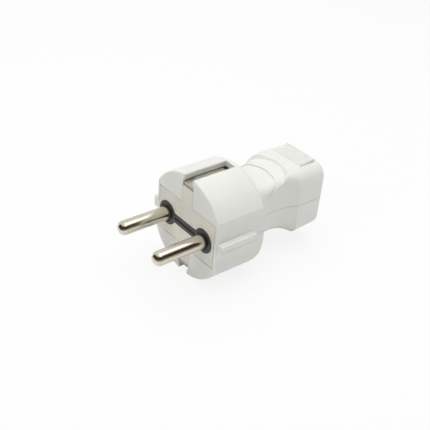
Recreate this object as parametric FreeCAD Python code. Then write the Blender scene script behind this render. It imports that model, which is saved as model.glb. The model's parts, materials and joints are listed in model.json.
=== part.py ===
# Earthed mains plug of type F, the kind that can be rewired, lying with its pins level.
# Frame in millimetres: X runs along the pin pitch, Y from the pins to the cord entry, Z up.
# The origin is the centre of the engagement face, halfway between the pins.
import FreeCAD, Part
import os

V = FreeCAD.Vector
AXIS_X = V(1, 0, 0)
AXIS_Y = V(0, 1, 0)
AXIS_Z = V(0, 0, 1)
near = 1e-4
overshoot = 1.0

# Pins, to the plug standard
pin_pitch = 19.0
pin_diameter = 4.8
pin_length = 19.0
pin_tip_round = 2.0
pin_neck_diameter = 4.2
terminal_width = 6.6
terminal_length = 8.1
wire_bore = 3.4
wire_bore_depth = 6.1
terminal_screw_set_back = 5.0

# Pin bridge
bridge_disc_diameter = 8.36
bridge_bar_height = 3.38
bridge_stand_out = 0.35
bridge_thickness = 4.1
bridge_flange_step = 0.8
bridge_flange_thickness = 1.45
bridge_back_margin = 3.6
bridge_back_half_length = pin_pitch / 2 + bridge_back_margin
bar_groove_height = 0.9
bar_groove_depth = 0.45
pin_ring_diameter = 6.2
pin_ring_depth = 0.3

# Round front of the housing
notch_length = 16.6
notch_back_wall = 3.2
side_margin = 2.02
flat_depth = 2.55
body_length = notch_length + notch_back_wall
across_flats = pin_pitch + bridge_disc_diameter + 2 * side_margin
body_diameter = across_flats + 2 * flat_depth
body_rear_round = 2.8
face_edge_round = 0.5
land_depth = 0.2
wall = 1.9
least_round = 0.4
guide_height = 4.1
guide_inset = 0.15
guide_across = body_diameter - 2 * guide_inset
guide_start = 0.4
guide_rear_margin = 4.9
guide_end = body_length - guide_rear_margin
guide_edge_round = 0.3

# Earth notches, the same above and below, each cut into a narrow flat land
notch_mouth = 4.3
notch_width = 5.5
notch_depth = 3.75
notch_floor = body_diameter / 2 - notch_depth
lip_thickness = 1.25
lip_slope = 0.8
lip_end = body_diameter / 2 - lip_thickness
lip_start = lip_end - lip_slope
mouth_edge = 0.25

# Cord clamp
cord_radius = 4.1
clamp_length = 3.6
clamp_arch_half_width = 4.0
clamp_head_diameter = 4.6
clamp_head_gap = 0.1
clamp_boss_x = clamp_arch_half_width + clamp_head_diameter / 2 + clamp_head_gap
clamp_boss_margin = 2.2
clamp_half_width = clamp_boss_x + clamp_boss_margin
clamp_end_gap = 0.4

# Neck and grip; each neck section has its place behind the round front as a share of the
# neck, its half width, its height above and below the pins, and its corner rounds
neck_sections = (
    (-0.122, 12.4, 12.0, 11.4, 4.6, 5.6),
    (0.112, 10.4, 10.6, 9.9, 3.4, 5.0),
    (0.594, 8.9, 10.4, 9.6, 2.8, 4.2),
    (0.792, 9.3, 11.0, 10.5, 2.8, 4.2),
)
neck_length = 19.7
grip_length = 11.5
grip_start = body_length + neck_length
grip_end = grip_start + grip_length
grip_half_width = clamp_half_width + clamp_end_gap + wall
grip_half_height = 12.4
grip_lean = 0.06
grip_front_round = 4.0
grip_rear_round = 5.2
grip_end_round = 1.5
badge_set_back = 6.4
badge_at = body_length + badge_set_back
badge_half_length = 6.6
badge_half_width = 9.3
badge_depth = 0.4

# Shoulder of the grip, hollowed round towards the neck; at each neck section its height
# above the pins and its corner round
shoulder_tops = ((10.0, 3.4), (10.4, 3.4), (12.4, 2.6), (12.4, 2.6))
shoulder_foot = 6.0
shoulder_inset = 0.02
hollow_set_back = 3.5
hollow_floor = 7.0
hollow_radius = 10.5
hollow_top_radius = 14.6

# Ribbed thumb ramp on top of the grip
ramp_set_back = 2.7
ramp_length = 6.7
ramp_start = grip_start + ramp_set_back
ramp_end = ramp_start + ramp_length
ramp_half_width = 6.6
ramp_rise = 0.9
ramp_ribs = 7
rib_height = 0.35
rib_flank = 0.24

# Seam between the two shells
seam_gap = 0.02
seam_groove_height = 0.14
seam_groove_depth = 0.1

# Clearances
fit_gap = 0.05
panel_gap = 0.1
band_gap = 0.18
strip_gap = 0.45

# Contact carrier
band_end_margin = 1.3
band_half_length = across_flats / 2 - band_end_margin
band_half_height = 7.85
flange_thickness = 2.0
block_half_height = 6.2
block_side_wall = 0.55
arm_half_width = 2.65
arm_front_drop = 0.45
arm_front_length = 3.0
post_half_width = 4.0
post_half_height = 5.5
rim_width = 0.75
rim_height = 0.25
stop_rib_thickness = 1.5
stop_rib_reach = 1.5

# Earth strip, screw and washer
strip_thickness = 0.9
strip_width = 4.6
strip_start = 0.4
strip_bend = 0.5
web_pad_half_width = 3.4
web_pad_half_height = 4.2
collar_diameter = 6.0
collar_length = 2.6
earth_screw_diameter = 3.5
earth_screw_length = 4.4
earth_head_diameter = 6.0
earth_head_height = 2.0
washer_width = 6.4
washer_thickness = 1.0

# Fasteners
screw_diameter = 3.0
screw_head_diameter = 5.4
screw_head_height = 2.0
screw_length = 12.0
screw_seat = 8.2
screw_bore_gap = 0.05
terminal_screw_diameter = 3.2
terminal_screw_length = 2.6
terminal_head_diameter = 5.6
terminal_head_height = 1.8
clamp_screw_diameter = 3.0
clamp_screw_length = 11.5
clamp_head_height = 1.8
slot_width = 0.8
slot_depth = 0.8
head_chamfer = 0.2
insert_diameter = 3.9
insert_length = 5.0
insert_groove_width = 0.6
insert_groove_depth = 0.25
boss_diameter = 5.8
boss_gap = 0.55
terminal_back = bridge_thickness + fit_gap + terminal_length
front_boss_at = (pin_pitch / 2, terminal_back + boss_gap + boss_diameter / 2)
rear_boss_side_margin = 3.9
rear_boss_end_margin = 4.0
rear_boss_at = (grip_half_width - rear_boss_side_margin, grip_end - rear_boss_end_margin)
counterbore_diameter = 5.8
counterbore_wall = 1.1
seat_thickness = 1.3

# Cord entry and clamp
entry_gap = 0.1
entry_diameter = 2 * (cord_radius + entry_gap)
entry_bell = 0.9
clamp_set_back = 2.1
clamp_at = grip_start + clamp_set_back
clamp_boss_diameter = 4.4
clamp_boss_top = 2.9
ear_thickness = 1.7
clamp_arch_height = 3.4
cradle_drop = 0.6


def box(x0, x1, y0, y1, z0, z1):
    return Part.makeBox(x1 - x0, y1 - y0, z1 - z0, V(x0, y0, z0))


def slab(half_x, y0, y1, half_z):
    return box(-half_x, half_x, y0, y1, -half_z, half_z)


def rod_y(diameter, x, z, y0, y1):
    return Part.makeCylinder(diameter / 2, y1 - y0, V(x, y0, z), AXIS_Y)


def rod_z(diameter, x, y, z0, z1):
    return Part.makeCylinder(diameter / 2, z1 - z0, V(x, y, z0), AXIS_Z)


def joined(shapes):
    first = shapes[0]
    return first.multiFuse(shapes[1:]).removeSplitter() if len(shapes) > 1 else first


def mirrored_x(shape):
    return shape.mirror(V(0, 0, 0), AXIS_X)


def mirrored_z(shape):
    return shape.mirror(V(0, 0, 0), AXIS_Z)


def both_sides(shape):
    return [shape, mirrored_x(shape)]


def above_and_below(shape):
    return [shape, mirrored_z(shape)]


def edges_at_y(shape, y):
    return [e for e in shape.Edges if abs(e.BoundBox.YMin - y) < near and abs(e.BoundBox.YMax - y) < near]


def polygon_face(points):
    return Part.Face(Part.makePolygon(points + points[:1]))


# Outer form of the closed housing; an inset moves every outer surface inwards by that much

def body_form(inset):
    rear = body_length - inset
    drum = rod_y(body_diameter - 2 * inset, 0, 0, inset, rear)
    drum = drum.makeFillet(max(body_rear_round - inset, least_round), edges_at_y(drum, rear))
    half = across_flats / 2 - inset
    drum = drum.common(slab(half, 0, body_length, body_diameter))
    if inset == 0:
        drum = drum.makeFillet(face_edge_round, edges_at_y(drum, 0))
    return drum.common(slab(body_diameter, 0, body_length, body_diameter / 2 - land_depth - inset))


def guide_form(inset):
    inner = across_flats / 2 - wall
    outer = guide_across / 2 - inset
    half = guide_height / 2 - inset
    bar = box(inner, outer, guide_start + inset, guide_end - inset, -half, half)
    if inset == 0:
        rim = [e for e in bar.Edges if e.BoundBox.XMax > outer - guide_edge_round / 2]
        bar = bar.makeFillet(guide_edge_round, rim)
    return bar.fuse(mirrored_x(bar))


def grip_section(section, inset, lean):
    share, half_width, above, below, round_above, round_below = section
    y = body_length + share * neck_length
    a = half_width - inset
    edges = []
    for sx, sz in ((1, 1), (-1, 1), (-1, -1), (1, -1)):
        b = (above if sz > 0 else below) - inset
        r = max((round_above if sz > 0 else round_below) - inset, least_round)
        mid = r * (1 - 0.5 ** 0.5)
        on_side = V(sx * a, y - lean * sz * (b - r), sz * (b - r))
        on_top = V(sx * (a - r), y - lean * sz * b, sz * b)
        corner_mid = V(sx * (a - mid), y - lean * sz * (b - mid), sz * (b - mid))
        start, end = (on_side, on_top) if sx * sz > 0 else (on_top, on_side)
        edges.append(Part.Arc(start, corner_mid, end).toShape())
    wire_edges = []
    for i, edge in enumerate(edges):
        after = edges[(i + 1) % len(edges)]
        wire_edges.append(edge)
        wire_edges.append(Part.makeLine(edge.Vertexes[-1].Point, after.Vertexes[0].Point))
    return Part.Wire(wire_edges)


def grip_form(inset):
    size = (grip_half_width, grip_half_height, grip_half_height)
    leans = (0, 0, grip_lean, grip_lean)
    front = grip_section((1, *size, grip_front_round, grip_front_round), inset, grip_lean)
    wires = [grip_section(section, inset, lean) for section, lean in zip(neck_sections, leans)]
    neck = Part.makeLoft(wires + [front], True, False)
    rear = grip_end - inset
    share = (rear - body_length) / neck_length
    back = grip_section((share, *size, grip_rear_round, grip_rear_round), inset, 0)
    grip = Part.makeLoft([front, back], True, True)
    grip = grip.makeFillet(max(grip_end_round - inset, least_round), edges_at_y(grip, rear))
    return neck.fuse(grip)


def housing_form(inset):
    return body_form(inset).fuse(grip_form(inset))


def shoulder():
    wires = []
    leans = (0, 0, grip_lean, grip_lean)
    for section, top, lean in zip(neck_sections, shoulder_tops, leans):
        raised = (section[0], section[1], top[0], section[3], top[1], section[5])
        wires.append(grip_section(raised, shoulder_inset, lean))
    size = (grip_half_width, grip_half_height, grip_half_height)
    wires.append(grip_section((1, *size, grip_front_round, grip_front_round), shoulder_inset, grip_lean))
    block = Part.makeLoft(wires, True, False)
    block = block.common(box(-body_diameter, body_diameter, 0, grip_end, shoulder_foot, body_diameter))
    slope = (hollow_top_radius - hollow_radius) / (grip_half_height - hollow_floor)
    height = grip_half_height - hollow_floor + wall
    hollow = Part.makeCone(hollow_radius, hollow_radius + slope * height, height,
                           V(0, body_length + hollow_set_back, hollow_floor), AXIS_Z)
    return block.cut(hollow)


def ramp():
    pitch = ramp_length / ramp_ribs
    slope = ramp_rise / ramp_length
    sunk = grip_half_height - wall / 2
    points = [V(0, ramp_start, sunk), V(0, ramp_start, grip_half_height)]
    for i in range(ramp_ribs):
        for share, height in ((rib_flank, rib_height), (1 - rib_flank, rib_height), (1, 0)):
            along = (i + share) * pitch
            points.append(V(0, ramp_start + along, grip_half_height + slope * along + height))
    points.append(V(0, ramp_end, sunk))
    face = polygon_face(points)
    face.translate(V(-ramp_half_width, 0, 0))
    return face.extrude(V(2 * ramp_half_width, 0, 0))


def badge_field():
    centre = V(0, badge_at, 0)
    oval = Part.Ellipse(centre + V(badge_half_width, 0, 0), centre + V(0, badge_half_length, 0), centre)
    prism = Part.Face(Part.Wire(oval.toShape())).extrude(V(0, 0, grip_half_height))
    return prism.cut(body_form(0)).cut(grip_form(badge_depth))


def notch_cut():
    mouth = notch_mouth / 2
    half = notch_width / 2
    land = body_diameter / 2 - land_depth
    floor = notch_floor - strip_gap
    left = [V(-half, 0, floor), V(-half, 0, lip_start), V(-mouth, 0, lip_end),
            V(-mouth, 0, land - mouth_edge), V(-mouth - mouth_edge - wall, 0, land + wall)]
    points = left + [V(-p.x, 0, p.z) for p in reversed(left)]
    face = polygon_face(points)
    face.translate(V(0, -wall, 0))
    return joined(above_and_below(face.extrude(V(0, notch_length + wall, 0))))


def seam_groove():
    plate = slab(body_diameter, -wall, grip_end + wall, seam_groove_height / 2)
    core = housing_form(seam_groove_depth).fuse(guide_form(seam_groove_depth))
    return plate.cut(core)


def boss_places():
    return [(side * x, y) for x, y in (front_boss_at, rear_boss_at) for side in (-1, 1)]


def outer_housing():
    form = joined([housing_form(0), guide_form(0), shoulder(), ramp()])
    entry = rod_y(entry_diameter, 0, 0, grip_start, grip_end + wall)
    bell = Part.makeCone(entry_diameter / 2, entry_diameter / 2 + entry_bell, entry_bell,
                         V(0, grip_end - entry_bell, 0), AXIS_Y)
    return form.cut(badge_field()).cut(seam_groove()), entry.fuse(bell)


def stop_ribs():
    start = wall + fit_gap + flange_thickness + fit_gap
    ring = body_form(wall / 2).common(slab(body_diameter, start, start + stop_rib_thickness, body_diameter))
    inner_radius = body_diameter / 2 - wall - stop_rib_reach
    inside = rod_y(2 * inner_radius, 0, 0, start - wall, start + 2 * wall)
    side = across_flats / 2 - wall - stop_rib_reach / 2
    inside = inside.common(slab(side, start - wall, start + 2 * wall, body_diameter))
    return ring.cut(inside).cut(slab(body_diameter, 0, body_length, block_half_height + strip_gap))


def shell_blank():
    outer, entry = outer_housing()
    shell = outer.cut(housing_form(wall)).fuse(stop_ribs())
    opening = slab(band_half_length + band_gap, -wall, wall + fit_gap, band_half_height + band_gap)
    channel = slab(arm_half_width + panel_gap, -wall, wall + fit_gap, notch_floor)
    return shell.cut(opening.fuse(channel)).cut(notch_cut()).cut(entry)


def make_upper_shell(blank):
    bottom = seam_gap / 2
    half = blank.common(box(-body_diameter, body_diameter, -wall, grip_end + wall, bottom, body_diameter))
    room = housing_form(wall / 2)
    bosses = [rod_z(boss_diameter, x, y, bottom, body_diameter) for x, y in boss_places()]
    half = half.fuse(joined(bosses).common(room))
    depth = bottom + insert_length + fit_gap
    holes = [rod_z(insert_diameter + 2 * screw_bore_gap, x, y, 0, depth) for x, y in boss_places()]
    return half.cut(joined(holes))


def make_lower_shell(blank):
    top = -seam_gap / 2
    half = blank.common(box(-body_diameter, body_diameter, -wall, grip_end + wall, -body_diameter, top))
    room = housing_form(wall / 2)
    bosses = [rod_z(boss_diameter, x, y, -body_diameter, top) for x, y in boss_places()]
    well = counterbore_diameter + 2 * counterbore_wall
    bosses += [rod_z(well, x, y, -body_diameter, seat_thickness - screw_seat) for x, y in boss_places()]
    clamp_front = clamp_at - clamp_length / 2
    cradle = box(-grip_half_width, grip_half_width, clamp_front, clamp_front + clamp_length,
                 -grip_half_height, -cradle_drop)
    features = joined(bosses + [cradle]).common(room)
    floor = wall - grip_half_height
    studs = both_sides(rod_z(clamp_boss_diameter, clamp_boss_x, clamp_at, floor, clamp_boss_top))
    half = half.fuse(features).fuse(joined(studs))
    path = rod_y(2 * cord_radius, 0, 0, clamp_at - clamp_length, grip_end - wall)
    cuts = [path]
    for x, y in boss_places():
        cuts.append(rod_z(screw_diameter + 2 * screw_bore_gap, x, y, -body_diameter, 0))
        cuts.append(rod_z(counterbore_diameter, x, y, -body_diameter, -screw_seat))
    foot = clamp_boss_top + ear_thickness - clamp_screw_length
    cuts += both_sides(rod_z(clamp_screw_diameter + 2 * screw_bore_gap, clamp_boss_x, clamp_at,
                             foot, clamp_boss_top + overshoot))
    return half.cut(joined(cuts)).removeSplitter()


# Pin bridge and the carrier round it

def dumbbell(grow, y0, y1):
    half_pitch = pin_pitch / 2
    discs = both_sides(rod_y(bridge_disc_diameter + 2 * grow, half_pitch, 0, y0, y1))
    bar = slab(half_pitch, y0, y1, bridge_bar_height / 2 + grow)
    return joined(discs + [bar])


def bridge_form(grow, front):
    back = bridge_thickness + grow
    shoulder = bridge_thickness - bridge_flange_thickness - grow
    form = joined([dumbbell(grow, front, back), dumbbell(bridge_flange_step + grow, shoulder, back)])
    ends = slab(body_diameter, wall + grow, back + overshoot, body_diameter)
    return form.cut(ends.cut(slab(bridge_back_half_length + grow, 0, body_length, body_diameter)))


def make_pin_bridge():
    bridge = bridge_form(0, -bridge_stand_out)
    half_pitch = pin_pitch / 2
    front = -bridge_stand_out - overshoot
    groove_end = half_pitch - bridge_disc_diameter / 2
    groove = slab(groove_end, front, bar_groove_depth - bridge_stand_out, bar_groove_height / 2)
    hole = rod_y(pin_neck_diameter + 2 * fit_gap, half_pitch, 0, front, bridge_thickness + overshoot)
    ring = rod_y(pin_ring_diameter, half_pitch, 0, front, pin_ring_depth - bridge_stand_out)
    return bridge.cut(joined([groove] + both_sides(hole.fuse(ring))))


def make_carrier():
    front_of_flange = wall + fit_gap
    back_of_flange = front_of_flange + flange_thickness
    strip_back = notch_length - fit_gap
    post_back = strip_back - strip_thickness - fit_gap
    arm_top = notch_floor - fit_gap
    band = slab(band_half_length, 0, front_of_flange, band_half_height)
    front_arm = slab(arm_half_width, 0, arm_front_length, arm_top - arm_front_drop)
    flange = rod_y(body_diameter - 2 * (wall + fit_gap), 0, 0, front_of_flange, back_of_flange)
    flange = flange.common(slab(across_flats / 2 - wall - fit_gap, 0, back_of_flange, body_diameter))
    half_slot = notch_width / 2
    slot = box(-half_slot, half_slot, 0, body_length, arm_top, body_diameter)
    front_slot = box(-half_slot, half_slot, 0, arm_front_length, arm_top - arm_front_drop, body_diameter)
    slots = above_and_below(slot.fuse(front_slot))
    block_half = pin_pitch / 2 + terminal_width / 2 + fit_gap + block_side_wall
    block = slab(block_half, back_of_flange, terminal_back, block_half_height)
    arm = slab(arm_half_width, arm_front_length, post_back - strip_bend, arm_top)
    post = slab(post_half_width, terminal_back, post_back, post_half_height)
    rim = dumbbell(rim_width, -rim_height, wall)
    carrier = joined([band, front_arm, flange, block, arm, post, rim]).cut(joined(slots))
    cuts = [bridge_form(fit_gap, -wall)]
    half = terminal_width / 2 + fit_gap
    x = pin_pitch / 2
    pocket = box(x - half, x + half, bridge_thickness, terminal_back + overshoot, -half, half)
    head_room = rod_z(terminal_head_diameter + 2 * panel_gap, x, screw_station(), 0,
                      block_half_height + overshoot)
    cuts += both_sides(pocket.fuse(head_room))
    cuts.append(rod_y(collar_diameter + 2 * fit_gap, 0, 0, post_back - collar_length - fit_gap,
                      post_back + overshoot))
    return carrier.cut(joined(cuts)).removeSplitter()


def screw_station():
    return bridge_thickness + fit_gap + terminal_screw_set_back


def make_pin(side):
    x = side * pin_pitch / 2
    front = bridge_thickness + fit_gap
    shoulder = -bridge_stand_out - fit_gap
    rod = rod_y(pin_diameter, x, 0, -pin_length, shoulder)
    rod = rod.makeFillet(pin_tip_round, edges_at_y(rod, -pin_length))
    neck = rod_y(pin_neck_diameter, x, 0, shoulder, front)
    half = terminal_width / 2
    back = front + terminal_length
    block = box(x - half, x + half, front, back, -half, half)
    block = block.makeChamfer(least_round, edges_at_y(block, back))
    pin = rod.fuse(neck).fuse(block)
    bore = rod_y(wire_bore, x, 0, back - wire_bore_depth, back + overshoot)
    thread = rod_z(terminal_screw_diameter + 2 * screw_bore_gap, x, screw_station(), 0, half + overshoot)
    return pin.cut(bore.fuse(thread)).removeSplitter()


# The head stands on the plane z = 0 with its driver slot along X, the shank hangs below

def slotted_screw(diameter, length, head_diameter, head_height):
    head = rod_z(head_diameter, 0, 0, 0, head_height)
    head = head.makeChamfer(head_chamfer, [e for e in head.Edges if e.BoundBox.ZMin > head_height - near])
    shank = rod_z(diameter, 0, 0, -length, 0)
    slot = box(-head_diameter, head_diameter, -slot_width / 2, slot_width / 2,
               head_height - slot_depth, head_height + overshoot)
    return head.fuse(shank).cut(slot)


def make_terminal_screw(side):
    screw = slotted_screw(terminal_screw_diameter, terminal_screw_length, terminal_head_diameter,
                          terminal_head_height)
    screw.translate(V(side * pin_pitch / 2, screw_station(), terminal_width / 2 + fit_gap))
    return screw


def make_housing_screw(place):
    screw = slotted_screw(screw_diameter, screw_length, screw_head_diameter, screw_head_height)
    screw.rotate(V(0, 0, 0), AXIS_X, 180)
    screw.translate(V(place[0], place[1], -screw_seat - fit_gap))
    return screw


def make_insert(place):
    x, y = place
    z0 = seam_gap / 2
    sleeve = rod_z(insert_diameter, x, y, z0, z0 + insert_length)
    z1 = z0 + insert_length
    groove_start = (z0 + z1 - insert_groove_width) / 2
    groove = rod_z(boss_diameter, x, y, groove_start, groove_start + insert_groove_width)
    groove = groove.cut(rod_z(insert_diameter - 2 * insert_groove_depth, x, y, z0, z1))
    return sleeve.cut(groove).cut(rod_z(screw_diameter + 2 * screw_bore_gap, x, y, 0, z1 + overshoot))


# Earth path

def bend_edges(strip, y, z):
    level = [e for e in strip.Edges if e.BoundBox.XLength > strip_width / 2]
    at_y = [e for e in level if abs(e.BoundBox.YMax - y) < near]
    return [e for e in at_y if abs(abs(e.BoundBox.ZMax) - z) < near]


def make_earth_strip():
    back = notch_length - fit_gap
    outer = notch_floor + strip_thickness
    inner_back = back - strip_thickness
    bend = strip_bend
    over = bend + strip_thickness
    leg = box(-strip_width / 2, strip_width / 2, strip_start, back, notch_floor, outer)
    web = slab(strip_width / 2, inner_back, back, outer)
    strip = joined(above_and_below(leg) + [web])
    strip = strip.makeFillet(over, bend_edges(strip, back, outer))
    strip = strip.makeFillet(bend, bend_edges(strip, inner_back, notch_floor))
    pad = slab(web_pad_half_width, inner_back, back, web_pad_half_height)
    collar = rod_y(collar_diameter, 0, 0, inner_back - collar_length, back)
    hole = rod_y(earth_screw_diameter + 2 * screw_bore_gap, 0, 0, 0, body_length)
    return joined([strip, pad, collar]).cut(hole)


def make_earth_washer():
    start = notch_length
    half = washer_width / 2
    plate = slab(half, start, start + washer_thickness, half)
    return plate.cut(rod_y(earth_screw_diameter + 2 * panel_gap, 0, 0, 0, body_length))


def make_earth_screw():
    screw = slotted_screw(earth_screw_diameter, earth_screw_length, earth_head_diameter, earth_head_height)
    screw.rotate(V(0, 0, 0), AXIS_X, -90)
    screw.translate(V(0, notch_length + washer_thickness + fit_gap, 0))
    return screw


# Cord clamp in the grip

def make_cord_clamp():
    y0 = clamp_at - clamp_length / 2
    foot = clamp_boss_top + fit_gap
    y1 = y0 + clamp_length
    ears = box(-clamp_half_width, clamp_half_width, y0, y1, foot, foot + ear_thickness)
    arch = box(-clamp_arch_half_width, clamp_arch_half_width, y0, y1, foot, foot + clamp_arch_height)
    clamp = joined([ears, arch])
    ends = clamp_half_width - near
    upright = [e for e in clamp.Edges if e.BoundBox.XMin > ends or e.BoundBox.XMax < -ends]
    upright = [e for e in upright if e.BoundBox.ZLength > ear_thickness / 2]
    clamp = clamp.makeFillet(least_round, upright)
    path = rod_y(2 * cord_radius, 0, 0, y0 - overshoot, y1 + overshoot)
    hole = rod_z(clamp_screw_diameter + 2 * panel_gap, clamp_boss_x, clamp_at, 0, body_diameter)
    return clamp.cut(joined([path] + both_sides(hole)))


def make_clamp_screw(side):
    screw = slotted_screw(clamp_screw_diameter, clamp_screw_length - fit_gap, clamp_head_diameter,
                          clamp_head_height)
    screw.translate(V(side * clamp_boss_x, clamp_at, clamp_boss_top + ear_thickness + 2 * fit_gap))
    return screw


def build_parts():
    blank = shell_blank()
    parts = {
        "upper_shell": make_upper_shell(blank),
        "lower_shell": make_lower_shell(blank),
        "contact_carrier": make_carrier(),
        "pin_bridge": make_pin_bridge(),
        "left_pin": make_pin(-1),
        "right_pin": make_pin(1),
        "left_terminal_screw": make_terminal_screw(-1),
        "right_terminal_screw": make_terminal_screw(1),
        "earth_strip": make_earth_strip(),
        "earth_washer": make_earth_washer(),
        "earth_screw": make_earth_screw(),
        "cord_clamp": make_cord_clamp(),
        "left_clamp_screw": make_clamp_screw(-1),
        "right_clamp_screw": make_clamp_screw(1),
    }
    names = ("front_left", "front_right", "rear_left", "rear_right")
    for name, place in zip(names, boss_places()):
        parts[name + "_screw"] = make_housing_screw(place)
        parts[name + "_insert"] = make_insert(place)
    return parts


def main():
    os.makedirs("parts", exist_ok=True)
    for name, shape in build_parts().items():
        shape.exportStep("parts/" + name + ".step")
        print(name, "solids", len(shape.Solids), "valid", shape.isValid(), "volume", round(shape.Volume, 2))


main()
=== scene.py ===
# Finishes, added pieces and studio for the rewirable mains plug
import json
import math

import bpy
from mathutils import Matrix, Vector

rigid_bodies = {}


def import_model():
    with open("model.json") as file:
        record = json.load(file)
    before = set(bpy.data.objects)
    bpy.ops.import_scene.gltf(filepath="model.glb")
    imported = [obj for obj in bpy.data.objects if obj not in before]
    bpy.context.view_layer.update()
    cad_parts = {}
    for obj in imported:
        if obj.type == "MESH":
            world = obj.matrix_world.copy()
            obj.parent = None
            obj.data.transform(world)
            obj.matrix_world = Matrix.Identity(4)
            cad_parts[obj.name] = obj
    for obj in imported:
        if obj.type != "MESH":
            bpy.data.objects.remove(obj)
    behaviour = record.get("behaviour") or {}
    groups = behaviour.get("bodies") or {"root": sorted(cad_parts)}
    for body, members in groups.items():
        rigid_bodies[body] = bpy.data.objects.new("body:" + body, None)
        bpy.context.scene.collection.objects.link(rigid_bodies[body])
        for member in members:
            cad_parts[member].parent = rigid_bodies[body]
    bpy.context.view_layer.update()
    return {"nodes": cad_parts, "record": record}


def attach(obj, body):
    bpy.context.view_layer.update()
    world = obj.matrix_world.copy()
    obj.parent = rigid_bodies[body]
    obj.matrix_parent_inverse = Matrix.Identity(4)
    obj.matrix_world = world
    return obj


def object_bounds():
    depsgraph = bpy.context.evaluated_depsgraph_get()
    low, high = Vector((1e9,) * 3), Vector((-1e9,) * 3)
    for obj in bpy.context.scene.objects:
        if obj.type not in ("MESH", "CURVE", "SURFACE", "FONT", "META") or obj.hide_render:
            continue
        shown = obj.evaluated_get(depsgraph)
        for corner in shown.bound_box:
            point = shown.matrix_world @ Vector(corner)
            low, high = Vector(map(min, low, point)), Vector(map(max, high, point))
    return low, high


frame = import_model()
nodes = frame["nodes"]
print("frame loaded:", len(nodes), "nodes")
weldDistance = 1e-6


def deselectAll():
    if bpy.context.object and bpy.context.object.mode != "OBJECT":
        bpy.ops.object.mode_set(mode="OBJECT")
    bpy.ops.object.select_all(action="DESELECT")


def applyPlace(piece):
    deselectAll()
    piece.select_set(True)
    bpy.context.view_layer.objects.active = piece
    bpy.ops.object.transform_apply(location=True, rotation=True, scale=True)


def applyModifiers(piece):
    deselectAll()
    piece.select_set(True)
    bpy.context.view_layer.objects.active = piece
    for modifier in list(piece.modifiers):
        bpy.ops.object.modifier_apply(modifier=modifier.name)


def smoothByAngle(piece, degrees):
    deselectAll()
    piece.select_set(True)
    bpy.context.view_layer.objects.active = piece
    bpy.ops.object.shade_smooth_by_angle(angle=math.radians(degrees))


def outwards(piece):
    deselectAll()
    bpy.context.view_layer.objects.active = piece
    piece.select_set(True)
    bpy.ops.object.mode_set(mode="EDIT")
    bpy.ops.mesh.select_all(action="SELECT")
    bpy.ops.mesh.remove_doubles(threshold=weldDistance)
    bpy.ops.mesh.normals_make_consistent(inside=False)
    bpy.ops.object.mode_set(mode="OBJECT")


def newMaterial(name):
    material = bpy.data.materials.new(name)
    material.use_nodes = True
    tree = material.node_tree
    return material, tree, tree.nodes["Principled BSDF"]


def objectPattern(tree, scale):
    coords = tree.nodes.new("ShaderNodeTexCoord")
    mapping = tree.nodes.new("ShaderNodeMapping")
    mapping.inputs["Scale"].default_value = scale
    tree.links.new(coords.outputs["Object"], mapping.inputs["Vector"])
    return mapping


def noise(tree, vector, scale, detail, roughness=0.5):
    node = tree.nodes.new("ShaderNodeTexNoise")
    node.inputs["Scale"].default_value = scale
    node.inputs["Detail"].default_value = detail
    node.inputs["Roughness"].default_value = roughness
    tree.links.new(vector.outputs["Vector"], node.inputs["Vector"])
    return node


def spread(tree, source, low, high):
    node = tree.nodes.new("ShaderNodeMapRange")
    node.inputs["From Min"].default_value = 0.3
    node.inputs["From Max"].default_value = 0.7
    node.inputs["To Min"].default_value = low
    node.inputs["To Max"].default_value = high
    tree.links.new(source, node.inputs["Value"])
    return node


def twoTones(tree, factor, first, second):
    node = tree.nodes.new("ShaderNodeMix")
    node.data_type = "RGBA"
    node.inputs[6].default_value = (*first, 1)
    node.inputs[7].default_value = (*second, 1)
    tree.links.new(factor, node.inputs[0])
    return node


def bumpChain(tree, shader, heights, edgeRound=0):  # heights hold (socket, strength, distance in metres)
    last = None
    if edgeRound:
        bevel = tree.nodes.new("ShaderNodeBevel")
        bevel.samples = 6
        bevel.inputs["Radius"].default_value = edgeRound
        last = bevel.outputs["Normal"]
    for socket, strength, distance in heights:
        bump = tree.nodes.new("ShaderNodeBump")
        bump.inputs["Strength"].default_value = strength
        bump.inputs["Distance"].default_value = distance
        tree.links.new(socket, bump.inputs["Height"])
        if last:
            tree.links.new(last, bump.inputs["Normal"])
        last = bump.outputs["Normal"]
    tree.links.new(last, shader.inputs["Normal"])


casingFinish = {
    "light": (0.845, 0.847, 0.808),
    "shade": (0.815, 0.817, 0.775),
    "clouds": 90,
    "gloss": (0.42, 0.52),
    "smears": 420,
    "grain": 5200,
    "grainDepth": 0.000012,
    "flow": 160,
    "flowDepth": 0.00004,
    "edgeRound": 0.00022,
    "refraction": 1.5,
}


def makeCasingPlastic(name, edgeRound):
    material, tree, shader = newMaterial(name)
    place = objectPattern(tree, (1, 1, 1))
    clouds = noise(tree, place, casingFinish["clouds"], 3)
    tone = twoTones(tree, spread(tree, clouds.outputs["Fac"], 0, 1).outputs["Result"],
                    casingFinish["light"], casingFinish["shade"])
    tree.links.new(tone.outputs[2], shader.inputs["Base Color"])
    smears = noise(tree, place, casingFinish["smears"], 4)
    tree.links.new(spread(tree, smears.outputs["Fac"], *casingFinish["gloss"]).outputs["Result"],
                   shader.inputs["Roughness"])
    grain = noise(tree, place, casingFinish["grain"], 2)
    flow = noise(tree, place, casingFinish["flow"], 2)
    bumpChain(tree, shader, [(grain.outputs["Fac"], 0.35, casingFinish["grainDepth"]),
                             (flow.outputs["Fac"], 0.2, casingFinish["flowDepth"])], edgeRound)
    shader.inputs["IOR"].default_value = casingFinish["refraction"]
    return material


carrierFinish = {
    "light": (0.815, 0.795, 0.700),
    "shade": (0.770, 0.750, 0.655),
    "clouds": 140,
    "gloss": (0.36, 0.50),
    "smears": 520,
    "grain": 6500,
    "grainDepth": 0.000012,
    "edgeRound": 0.00018,
}


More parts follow.
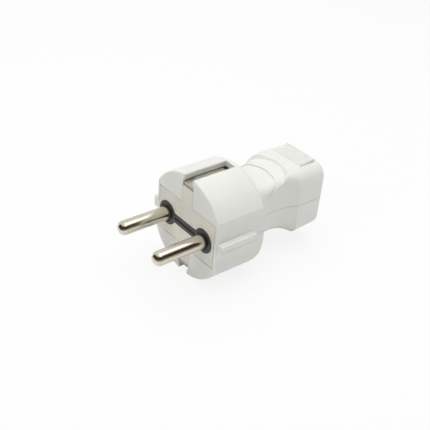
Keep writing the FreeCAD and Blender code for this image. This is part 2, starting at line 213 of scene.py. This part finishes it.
def makeCarrierPlastic():
    material, tree, shader = newMaterial("carrierPlastic")
    place = objectPattern(tree, (1, 1, 1))
    clouds = noise(tree, place, carrierFinish["clouds"], 4)
    tone = twoTones(tree, spread(tree, clouds.outputs["Fac"], 0, 1).outputs["Result"],
                    carrierFinish["light"], carrierFinish["shade"])
    tree.links.new(tone.outputs[2], shader.inputs["Base Color"])
    smears = noise(tree, place, carrierFinish["smears"], 3)
    tree.links.new(spread(tree, smears.outputs["Fac"], *carrierFinish["gloss"]).outputs["Result"],
                   shader.inputs["Roughness"])
    grain = noise(tree, place, carrierFinish["grain"], 2)
    bumpChain(tree, shader, [(grain.outputs["Fac"], 0.4, carrierFinish["grainDepth"])],
              carrierFinish["edgeRound"])
    return material


bridgeFinish = {
    "light": (0.085, 0.088, 0.082),
    "shade": (0.016, 0.017, 0.016),
    "gloss": (0.38, 0.62),
    "flecks": 1500,
    "pits": 3800,
    "pitDepth": 0.00004,
    "edgeRound": 0.00018,
}


def makeBridgeThermoset():
    material, tree, shader = newMaterial("bridgeThermoset")
    place = objectPattern(tree, (1, 1, 1))
    flecks = noise(tree, place, bridgeFinish["flecks"], 6, 0.65)
    tone = twoTones(tree, spread(tree, flecks.outputs["Fac"], 0, 1).outputs["Result"],
                    bridgeFinish["shade"], bridgeFinish["light"])
    tree.links.new(tone.outputs[2], shader.inputs["Base Color"])
    tree.links.new(spread(tree, flecks.outputs["Fac"], *bridgeFinish["gloss"]).outputs["Result"],
                   shader.inputs["Roughness"])
    pits = noise(tree, place, bridgeFinish["pits"], 4, 0.6)
    bumpChain(tree, shader, [(pits.outputs["Fac"], 0.6, bridgeFinish["pitDepth"])],
              bridgeFinish["edgeRound"])
    return material


# Streaks run across the direction that has the large number in "streaks"
metalClouds = 260
pinFinish = {
    "light": (0.76, 0.71, 0.61),
    "shade": (0.70, 0.65, 0.55),
    "gloss": (0.12, 0.20),
    "streaks": (260, 9000, 260),
    "streakDepth": 0.0000012,
    "edgeRound": 0.0001,
}
stripFinish = {
    "light": (0.72, 0.69, 0.59),
    "shade": (0.62, 0.59, 0.50),
    "gloss": (0.30, 0.44),
    "streaks": (7000, 220, 7000),
    "streakDepth": 0.000003,
    "edgeRound": 0.00015,
}
screwFinish = {
    "light": (0.62, 0.63, 0.64),
    "shade": (0.50, 0.51, 0.53),
    "gloss": (0.22, 0.42),
    "streaks": (1500, 1500, 1500),
    "streakDepth": 0.000004,
    "edgeRound": 0.00012,
}
insertFinish = {
    "light": (0.78, 0.60, 0.28),
    "shade": (0.68, 0.50, 0.22),
    "gloss": (0.2, 0.4),
    "streaks": (1500, 1500, 6000),
    "streakDepth": 0.000003,
    "edgeRound": 0.0001,
}


def makeMetal(name, finish):
    material, tree, shader = newMaterial(name)
    place = objectPattern(tree, (1, 1, 1))
    clouds = noise(tree, place, metalClouds, 4)
    tone = twoTones(tree, spread(tree, clouds.outputs["Fac"], 0, 1).outputs["Result"],
                    finish["light"], finish["shade"])
    tree.links.new(tone.outputs[2], shader.inputs["Base Color"])
    along = objectPattern(tree, finish["streaks"])
    streaks = noise(tree, along, 1, 5, 0.6)
    tree.links.new(spread(tree, streaks.outputs["Fac"], *finish["gloss"]).outputs["Result"],
                   shader.inputs["Roughness"])
    bumpChain(tree, shader, [(streaks.outputs["Fac"], 0.25, finish["streakDepth"])], finish["edgeRound"])
    shader.inputs["Metallic"].default_value = 1
    return material


casingPlastic = makeCasingPlastic("casingPlastic", casingFinish["edgeRound"])
carrierPlastic = makeCarrierPlastic()
bridgeThermoset = makeBridgeThermoset()
pinNickel = makeMetal("pinNickel", pinFinish)
stripNickel = makeMetal("stripNickel", stripFinish)
screwZinc = makeMetal("screwZinc", screwFinish)
insertBrass = makeMetal("insertBrass", insertFinish)
print("finishes made")

slotFinish = {
    "casing": casingPlastic,
    "carrier": carrierPlastic,
    "bridge": bridgeThermoset,
    "pins": pinNickel,
    "earth": stripNickel,
    "screws": screwZinc,
    "inserts": insertBrass,
}
for entry in frame["record"]["subparts"]:
    node = nodes[entry["node"]]
    node.data.materials.clear()
    node.data.materials.append(slotFinish[entry["material_slot"]])
print("nodes dressed")


# The field of the badge runs down the neck's flanks in the shells. These two cheeks fill it there again,
# so that its edge ends on top of the neck, and they die out towards the top
badgeCheeks = {
    "centre": 0.0262,
    "halfLength": 0.00659,
    "halfWidth": 0.00929,
    "depth": 0.0004,
    "lowest": 0.0001,
    "foot": 0.00018,
    "leastEdge": 0.00012,
    "fullBelow": 0.0068,
    "noneAbove": 0.0098,
    "leastFacing": 0.15,
    "mostSlant": 0.6,
    "leastRise": -0.3,
    "smoothAngle": 40,
    "slices": (0.0060, 0.0068, 0.0074, 0.0080, 0.0086, 0.0092, 0.0098),
}


def onCheek(face):
    x, y, z = face.center
    across = x / badgeCheeks["halfWidth"]
    along = (y - badgeCheeks["centre"]) / badgeCheeks["halfLength"]
    inside = across ** 2 + along ** 2 < 1 and badgeCheeks["lowest"] < z < badgeCheeks["noneAbove"]
    facing = face.normal.x * math.copysign(1, x) > badgeCheeks["leastFacing"]
    level = abs(face.normal.y) < badgeCheeks["mostSlant"] and face.normal.z > badgeCheeks["leastRise"]
    return inside and facing and level


def makeBadgeCheeks():
    deselectAll()
    cheeks = nodes["upper_shell"].copy()
    cheeks.data = nodes["upper_shell"].data.copy()
    cheeks.name = "badgeCheeks"
    bpy.context.scene.collection.objects.link(cheeks)
    cheeks.select_set(True)
    bpy.context.view_layer.objects.active = cheeks
    bpy.ops.object.mode_set(mode="EDIT")
    bpy.ops.mesh.select_mode(type="FACE")
    bpy.ops.mesh.select_all(action="SELECT")
    bpy.ops.mesh.remove_doubles(threshold=weldDistance)
    bpy.ops.mesh.select_all(action="DESELECT")
    bpy.ops.object.mode_set(mode="OBJECT")
    for face in cheeks.data.polygons:
        face.select = not onCheek(face)
    bpy.ops.object.mode_set(mode="EDIT")
    bpy.ops.mesh.delete(type="FACE")
    bpy.ops.object.mode_set(mode="OBJECT")
    for side in (1, -1):
        flank = [face for face in cheeks.data.polygons if face.center.x * side > 0]
        max(flank, key=lambda face: face.area).select = True
    bpy.ops.object.mode_set(mode="EDIT")
    bpy.ops.mesh.select_linked()
    bpy.ops.mesh.select_all(action="INVERT")
    bpy.ops.mesh.delete(type="FACE")
    bpy.ops.mesh.select_all(action="SELECT")
    bpy.ops.mesh.bisect(plane_co=(0, 0, badgeCheeks["foot"]), plane_no=(0, 0, 1), clear_inner=True)
    for height in badgeCheeks["slices"]:
        bpy.ops.mesh.select_all(action="SELECT")
        bpy.ops.mesh.bisect(plane_co=(0, 0, height), plane_no=(0, 0, 1))
    bpy.ops.mesh.select_all(action="SELECT")
    bpy.ops.mesh.remove_doubles(threshold=badgeCheeks["leastEdge"])
    bpy.ops.mesh.normals_make_consistent(inside=False)
    bpy.ops.object.mode_set(mode="OBJECT")
    normals = [corner.normal.copy() for corner in cheeks.data.vertices]
    fade = badgeCheeks["noneAbove"] - badgeCheeks["fullBelow"]
    for corner, normal in zip(cheeks.data.vertices, normals):
        share = min(1, max(0, (badgeCheeks["noneAbove"] - corner.co.z) / fade))
        corner.co += normal * badgeCheeks["depth"] * share * share * (3 - 2 * share)
    wall = cheeks.modifiers.new("wall", "SOLIDIFY")
    wall.thickness = badgeCheeks["depth"]
    wall.offset = -1
    applyModifiers(cheeks)
    smoothByAngle(cheeks, badgeCheeks["smoothAngle"])
    cheeks.data.materials.clear()
    cheeks.data.materials.append(makeCasingPlastic("cheekPlastic", 0))  # rounding would draw their borders
    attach(cheeks, "root")
    print("badge cheeks:", len(cheeks.data.polygons), "faces")


makeBadgeCheeks()

# Rails under the lips of both earth notches, which bring the mouth's walls down to just above the strip
notchRails = {
    "mouth": 0.00215,
    "undercut": 0.00274,
    "bottom": 0.01602,
    "top": 0.01698,
    "shoulder": 0.01618,
    "start": 0.00006,
    "end": 0.01656,
    "edge": 0.00014,
    "edgeSteps": 3,
    "smoothAngle": 35,
}


def makeNotchRails():
    deselectAll()
    low = (notchRails["mouth"], notchRails["start"], notchRails["bottom"])
    high = (notchRails["undercut"], notchRails["end"], notchRails["top"])
    middle = [(a + b) / 2 for a, b in zip(low, high)]
    size = [b - a for a, b in zip(low, high)]
    bpy.ops.mesh.primitive_cube_add(size=1, location=middle, scale=size)
    rails = bpy.context.object
    rails.name = "notchRails"
    applyPlace(rails)
    bpy.ops.object.mode_set(mode="EDIT")
    bpy.ops.mesh.select_mode(type="VERT")
    bpy.ops.mesh.select_all(action="DESELECT")
    bpy.ops.object.mode_set(mode="OBJECT")
    for corner in rails.data.vertices:
        corner.select = corner.co.x > middle[0] and corner.co.z > middle[2]
    bpy.ops.object.mode_set(mode="EDIT")
    bpy.ops.transform.translate(value=(0, 0, notchRails["shoulder"] - notchRails["top"]))
    bpy.ops.mesh.select_mode(type="EDGE")
    bpy.ops.mesh.select_all(action="DESELECT")
    bpy.ops.object.mode_set(mode="OBJECT")
    corners = rails.data.vertices
    for edge in rails.data.edges:
        ends = [corners[index].co for index in edge.vertices]
        edge.select = all(end.x < middle[0] and end.z < middle[2] for end in ends)
    bpy.ops.object.mode_set(mode="EDIT")
    bpy.ops.mesh.bevel(offset=notchRails["edge"], segments=notchRails["edgeSteps"], affect="EDGES")
    bpy.ops.object.mode_set(mode="OBJECT")
    mirror = rails.modifiers.new("otherNotchAndSide", "MIRROR")
    mirror.use_axis = (True, False, True)
    applyModifiers(rails)
    outwards(rails)
    smoothByAngle(rails, notchRails["smoothAngle"])
    rails.data.materials.clear()
    rails.data.materials.append(casingPlastic)
    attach(rails, "root")
    print("notch rails:", len(rails.data.polygons), "faces")


makeNotchRails()

# Bowed contact leaves on the earth strip, one in each notch, with a low lip at the mouth
contactLeaf = {
    "halfWidth": 0.00196,
    "start": 0.0002,
    "end": 0.0161,
    "foot": 0.01521,
    "lip": 0.00022,
    "lipRamp": (0.0, 0.0013),
    "bow": 0.00044,
    "frontRamp": (0.0022, 0.0048),
    "rearRamp": (0.0148, 0.0160),
    "thickness": 0.00024,
    "edge": 0.00008,
    "edgeSteps": 2,
    "columns": 4,
    "rows": 72,
    "smoothAngle": 35,
}


def softStep(value, low, high):
    share = min(1, max(0, (value - low) / (high - low)))
    return share * share * (3 - 2 * share)


def makeContactLeaves():
    deselectAll()
    length = contactLeaf["end"] - contactLeaf["start"]
    middle = (0, contactLeaf["start"] + length / 2, contactLeaf["foot"])
    bpy.ops.mesh.primitive_grid_add(x_subdivisions=contactLeaf["columns"],
                                    y_subdivisions=contactLeaf["rows"], size=1, location=middle)
    leaves = bpy.context.object
    leaves.name = "contactLeaves"
    bpy.ops.transform.resize(value=(2 * contactLeaf["halfWidth"], length, 1))
    applyPlace(leaves)
    for corner in leaves.data.vertices:
        lip = contactLeaf["lip"] * softStep(corner.co.y, *contactLeaf["lipRamp"])
        bow = contactLeaf["bow"] * softStep(corner.co.y, *contactLeaf["frontRamp"])
        rear = 1 - softStep(corner.co.y, *contactLeaf["rearRamp"])
        corner.co.z += (lip + bow) * rear
    sheet = leaves.modifiers.new("sheet", "SOLIDIFY")
    sheet.thickness = contactLeaf["thickness"]
    sheet.offset = 1
    rounding = leaves.modifiers.new("rounding", "BEVEL")
    rounding.width = contactLeaf["edge"]
    rounding.segments = contactLeaf["edgeSteps"]
    rounding.limit_method = "ANGLE"
    mirror = leaves.modifiers.new("lowerNotch", "MIRROR")
    mirror.use_axis = (False, False, True)
    applyModifiers(leaves)
    outwards(leaves)
    smoothByAngle(leaves, contactLeaf["smoothAngle"])
    leaves.data.materials.clear()
    leaves.data.materials.append(stripNickel)
    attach(leaves, "root")
    print("contact leaves:", len(leaves.data.polygons), "faces")


makeContactLeaves()


studio = {
    "floorSize": 3.0,
    "floorColour": (0.90, 0.90, 0.89),
    "floorGlow": 0.84,
    "floorRoughness": 0.9,
    "floorSpecular": 0.1,
    "worldStrength": 0.20,
    "worldTint": (1.0, 1.0, 1.0),
    "aim": (0, 0.015, 0),
    "lamps": {
        "overheadSoftbox": {"place": (0.12, 0.15, 0.60), "size": 0.60, "power": 0.75, "mirrored": True},
        "topFill": {"place": (-0.05, 0.14, 0.62), "size": 0.72, "power": 1.30, "mirrored": False},
        "leftFill": {"place": (-0.32, 0.10, 0.52), "size": 0.60, "power": 1.05, "mirrored": False},
        "frontTopFill": {"place": (0.0, -0.30, 0.55), "size": 0.60, "power": 1.05, "mirrored": False},
        "frontFill": {"place": (0.05, -0.52, 0.33), "size": 0.40, "power": 0.50, "mirrored": False},
        "rearRightFill": {"place": (0.46, 0.42, 0.12), "size": 0.40, "power": 0.60, "mirrored": False},
    },
}


def makeFloor():
    deselectAll()
    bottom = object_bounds()[0][2]
    bpy.ops.mesh.primitive_plane_add(size=studio["floorSize"], location=(0, 0, bottom))
    floor = bpy.context.object
    floor.name = "studioFloor"
    applyPlace(floor)
    material, tree, shader = newMaterial("floorPaper")
    shader.inputs["Base Color"].default_value = (*studio["floorColour"], 1)
    shader.inputs["Roughness"].default_value = studio["floorRoughness"]
    shader.inputs["Specular IOR Level"].default_value = studio["floorSpecular"]
    glow = tree.nodes.new("ShaderNodeEmission")
    glow.inputs["Strength"].default_value = 1
    paths = tree.nodes.new("ShaderNodeLightPath")
    share = tree.nodes.new("ShaderNodeMath")
    share.operation = "MULTIPLY"
    share.inputs[1].default_value = studio["floorGlow"]
    tree.links.new(paths.outputs["Is Camera Ray"], share.inputs[0])
    blend = tree.nodes.new("ShaderNodeMixShader")
    tree.links.new(share.outputs[0], blend.inputs[0])
    tree.links.new(shader.outputs[0], blend.inputs[1])
    tree.links.new(glow.outputs[0], blend.inputs[2])
    tree.links.new(blend.outputs[0], tree.nodes["Material Output"].inputs["Surface"])
    floor.data.materials.append(material)


def makeWorld():
    world = bpy.data.worlds.new("studioWorld")
    bpy.context.scene.world = world
    world.use_nodes = True
    tree = world.node_tree
    tree.nodes.clear()
    output = tree.nodes.new("ShaderNodeOutputWorld")
    soft = tree.nodes.new("ShaderNodeBackground")
    soft.inputs["Color"].default_value = (*studio["worldTint"], 1)
    soft.inputs["Strength"].default_value = studio["worldStrength"]
    white = tree.nodes.new("ShaderNodeBackground")
    white.inputs["Strength"].default_value = 1
    paths = tree.nodes.new("ShaderNodeLightPath")
    shown = tree.nodes.new("ShaderNodeMath")
    shown.operation = "ADD"
    shown.use_clamp = True
    tree.links.new(paths.outputs["Is Camera Ray"], shown.inputs[0])
    tree.links.new(paths.outputs["Is Glossy Ray"], shown.inputs[1])
    blend = tree.nodes.new("ShaderNodeMixShader")
    tree.links.new(shown.outputs[0], blend.inputs[0])
    tree.links.new(soft.outputs[0], blend.inputs[1])
    tree.links.new(white.outputs[0], blend.inputs[2])
    tree.links.new(blend.outputs[0], output.inputs["Surface"])


# Dark curtain round the right and front, a glowing sheet seen only in the metal, where its painted tones
# draw painted reflections: the dark streaks, with lighter bands at its foot and rim.
# Its tones go by the height that a look from the plug has, and they lie lower towards the front left
curtain = {
    "foot": (0.055, -0.017),
    "rim": (0.28, 0.34),
    "from": 62,
    "sweep": 198,
    "steps": 60,
    "lean": (0, 12, 40),
    "lowest": -0.33,
    "highest": 0.77,
    "tones": ((0.00, (0.62, 0.60, 0.56)), (0.10, (0.34, 0.31, 0.27)), (0.26, (0.11, 0.090, 0.070)),
              (0.36, (0.045, 0.035, 0.027)), (0.70, (0.040, 0.032, 0.025)), (0.84, (0.22, 0.20, 0.17)),
              (0.94, (0.62, 0.60, 0.56)), (1.00, (0.90, 0.88, 0.85))),
}


def makeCurtain():
    deselectAll()
    start = math.radians(curtain["from"])
    bpy.ops.mesh.primitive_plane_add(size=1)
    reflectionSheet = bpy.context.object
    reflectionSheet.name = "reflectionGlowCurtain"
    bpy.ops.object.mode_set(mode="EDIT")
    bpy.ops.mesh.select_all(action="SELECT")
    bpy.ops.transform.resize(value=(1, 0, 1))
    bpy.ops.mesh.remove_doubles(threshold=weldDistance)
    bpy.ops.object.mode_set(mode="OBJECT")
    for corner, (radius, height) in zip(reflectionSheet.data.vertices, (curtain["foot"], curtain["rim"])):
        corner.co = (radius * math.cos(start), radius * math.sin(start), height)
    bpy.ops.object.mode_set(mode="EDIT")
    bpy.ops.mesh.select_all(action="SELECT")
    bpy.ops.mesh.spin(steps=curtain["steps"], angle=math.radians(curtain["sweep"]), center=(0, 0, 0),
                      axis=(0, 0, 1))
    bpy.ops.object.mode_set(mode="OBJECT")
    # Emission tones by height, painted reflections for the metal: dark in the middle, light at the foot
    # and rim. The sheet lights nothing
    material, tree, shader = newMaterial("curtainPaintedReflection")
    place = objectPattern(tree, (1, 1, 1))
    place.inputs["Rotation"].default_value = [math.radians(angle) for angle in curtain["lean"]]
    direction = tree.nodes.new("ShaderNodeVectorMath")
    direction.operation = "NORMALIZE"
    tree.links.new(place.outputs["Vector"], direction.inputs[0])
    split = tree.nodes.new("ShaderNodeSeparateXYZ")
    tree.links.new(direction.outputs["Vector"], split.inputs["Vector"])
    height = tree.nodes.new("ShaderNodeMapRange")
    height.inputs["From Min"].default_value = curtain["lowest"]
    height.inputs["From Max"].default_value = curtain["highest"]
    tree.links.new(split.outputs["Z"], height.inputs["Value"])
    tones = tree.nodes.new("ShaderNodeValToRGB")
    ramp = tones.color_ramp
    while len(ramp.elements) < len(curtain["tones"]):
        ramp.elements.new(0.5)
    for element, (share, colour) in zip(ramp.elements, curtain["tones"]):
        element.position = share
        element.color = (*colour, 1)
    tree.links.new(height.outputs["Result"], tones.inputs["Fac"])
    glow = tree.nodes.new("ShaderNodeEmission")
    tree.links.new(tones.outputs["Color"], glow.inputs["Color"])
    tree.links.new(glow.outputs[0], tree.nodes["Material Output"].inputs["Surface"])
    reflectionSheet.data.materials.append(material)
    for ray in ("camera", "diffuse", "transmission", "volume_scatter", "shadow"):
        setattr(reflectionSheet, "visible_" + ray, False)


def makeLamp(name, settings):
    data = bpy.data.lights.new(name, "AREA")
    data.shape = "DISK"
    data.size = settings["size"]
    data.energy = settings["power"]
    lamp = bpy.data.objects.new(name, data)
    bpy.context.scene.collection.objects.link(lamp)
    lamp.location = settings["place"]
    towards = Vector(studio["aim"]) - lamp.location
    lamp.rotation_euler = towards.to_track_quat("-Z", "Y").to_euler()
    lamp.visible_glossy = settings["mirrored"]


view = {
    "place": (0.15820, -0.12698, 0.13918),
    "turn": (56.417, -4.310, 51.543),
    "lens": 64.44,
}


def makeCamera():
    data = bpy.data.cameras.new("plugCamera")
    data.lens = view["lens"]
    data.sensor_width = 36
    data.clip_start = 0.01
    camera = bpy.data.objects.new("plugCamera", data)
    bpy.context.scene.collection.objects.link(camera)
    camera.location = view["place"]
    camera.rotation_euler = [math.radians(angle) for angle in view["turn"]]
    bpy.context.scene.camera = camera


makeFloor()
makeWorld()
makeCurtain()
for lampName, lampSettings in studio["lamps"].items():
    makeLamp(lampName, lampSettings)
makeCamera()
bpy.context.scene.view_settings.view_transform = "Standard"
print("studio ready")
